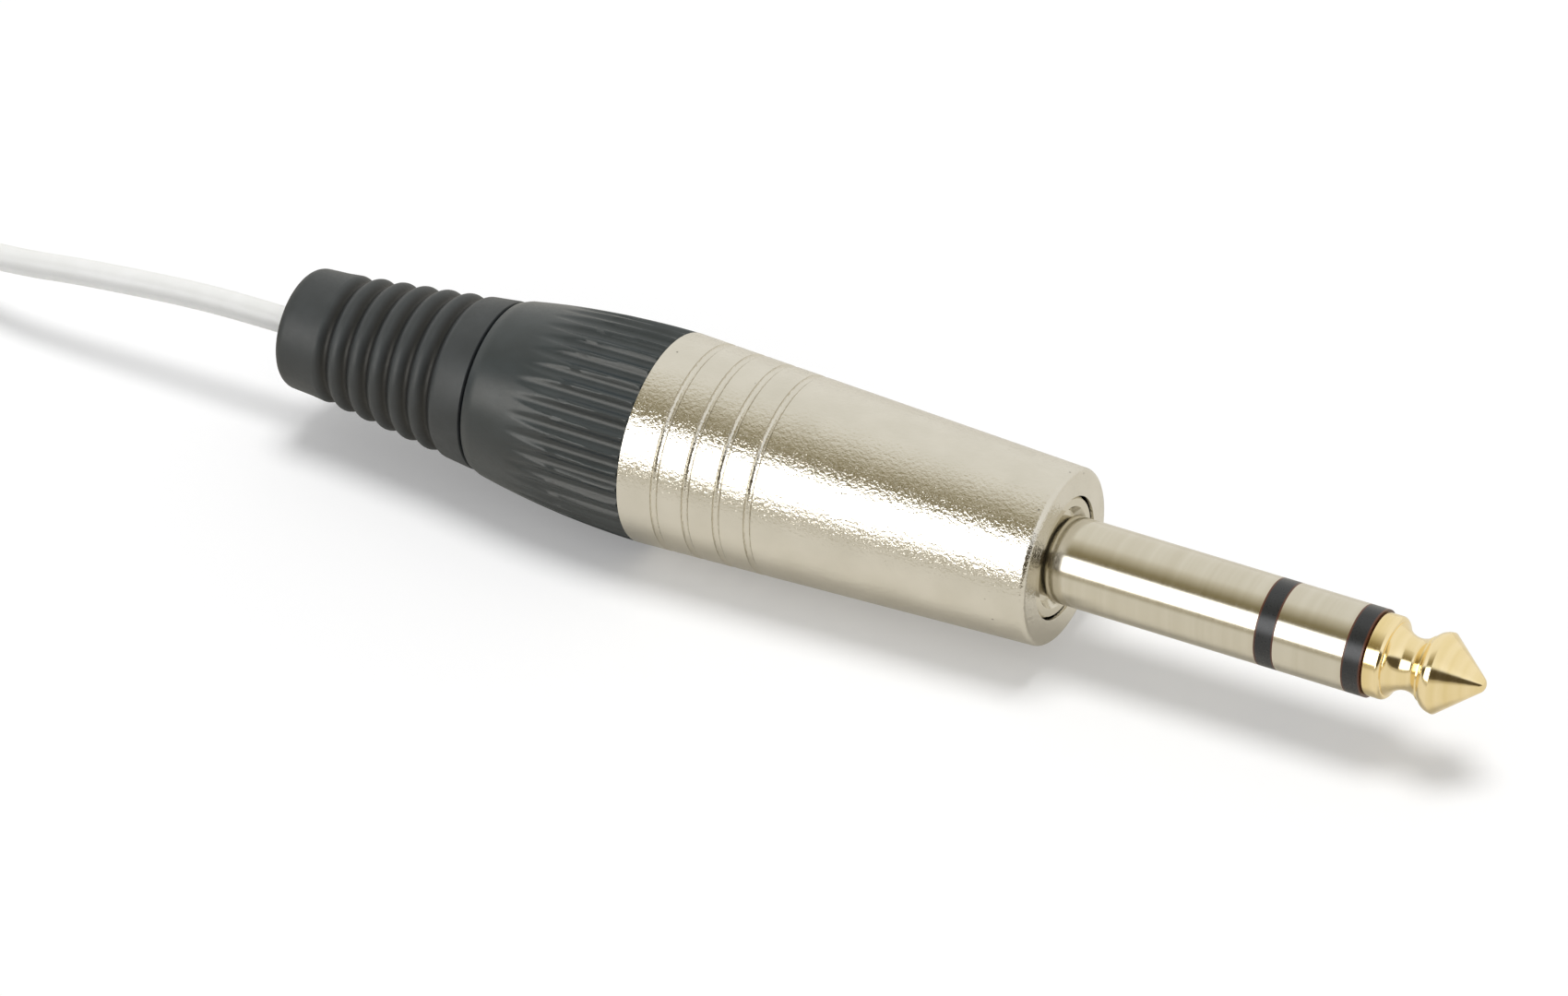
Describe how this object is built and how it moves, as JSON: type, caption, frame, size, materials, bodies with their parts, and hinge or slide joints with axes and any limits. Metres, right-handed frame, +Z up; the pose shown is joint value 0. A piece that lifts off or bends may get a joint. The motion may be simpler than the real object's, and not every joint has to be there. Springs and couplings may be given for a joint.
{
  "type": "three-pole jack plug lead",
  "caption": "Thin white audio lead with a three-pole 6.35 mm jack plug on each end; the tied hank lies behind and each plug's fluted nut unscrews.",
  "frame": {"origin": "on the near plug's axis at its shell's front face, the face that stops against a socket", "axes": "+X along the plug's axis towards its tip, +Z up, +Y to the left of the tip"},
  "size_m": [0.3012, 0.0182, 0.0156],
  "materials": {
    "gold_plate": "polished gold-coloured plating on turned brass",
    "nickel_shaft": "fine turned nickel plating",
    "nickel_shell": "satin, softly pebbled nickel plating on a die casting",
    "insulator": "dark moulded insulator",
    "tinned_brass": "stamped, dull tinned brass",
    "washer_fibre": "dark red fibre",
    "solder": "soft solder",
    "core_red": "insulated core",
    "core_white": "insulated core",
    "copper": "bare drain wire",
    "cord": "smooth white jacket",
    "liner": "translucent plain tube",
    "jaws": "moulded black plastic",
    "nut": "charcoal moulding with a soft sheen",
    "boot": "charcoal soft moulding with a soft sheen",
    "tie": "narrow hook-and-loop tie"
  },
  "bodies": {
    "root": {"tip_contact": "gold_plate", "tip_insulator": "insulator", "ring_contact": "nickel_shaft", "ring_insulator": "insulator", "sleeve_contact": "nickel_shaft", "sleeve_lug": "tinned_brass", "ring_washer": "washer_fibre", "ring_lug": "tinned_brass", "tip_washer": "washer_fibre", "tip_lug": "tinned_brass", "tip_solder": "solder", "ring_solder": "solder", "shield_solder": "solder", "tip_core": "core_red", "ring_core": "core_white", "shield_drain": "copper", "cord_jacket": "cord", "liner": "liner", "jaws": "jaws", "shell": "nickel_shell", "far_tip_contact": "gold_plate", "far_tip_insulator": "insulator", "far_ring_contact": "nickel_shaft", "far_ring_insulator": "insulator", "far_sleeve_contact": "nickel_shaft", "far_sleeve_lug": "tinned_brass", "far_ring_washer": "washer_fibre", "far_ring_lug": "tinned_brass", "far_tip_washer": "washer_fibre", "far_tip_lug": "tinned_brass", "far_tip_solder": "solder", "far_ring_solder": "solder", "far_shield_solder": "solder", "far_tip_core": "core_red", "far_ring_core": "core_white", "far_shield_drain": "copper", "far_cord_jacket": "cord", "far_liner": "liner", "far_jaws": "jaws", "far_shell": "nickel_shell", "cord_run": "cord", "hank": "cord", "cord_tail": "cord", "hank_tie": "tie"},
    "boot": {"boot": "boot"},
    "nut": {"nut": "nut"},
    "far_boot": {"far_boot": "boot"},
    "far_nut": {"far_nut": "nut"}
  },
  "joints": [
    {"name": "nut_turn", "type": "hinge", "parent": "boot", "child": "nut", "pos_m": [-0.04, 0, 0], "axis": [-1, 0, 0], "range_deg": [0, 1800]},
    {"name": "boot_slide", "type": "slide", "parent": "root", "child": "boot", "axis": [-1, 0, 0], "range_m": [0, 0.005]},
    {"name": "far_nut_turn", "type": "hinge", "parent": "far_boot", "child": "far_nut", "pos_m": [-0.1966, 0.0011, 0], "axis": [1, 0, 0], "range_deg": [0, 1800]},
    {"name": "far_boot_slide", "type": "slide", "parent": "root", "child": "far_boot", "axis": [1, 0, 0], "range_m": [0, 0.005]}
  ],
  "couplings": [
    {"joint": "boot_slide", "follows": "nut_turn", "m_per_rad": 0.00015915},
    {"joint": "far_boot_slide", "follows": "far_nut_turn", "m_per_rad": 0.00015915}
  ]
}
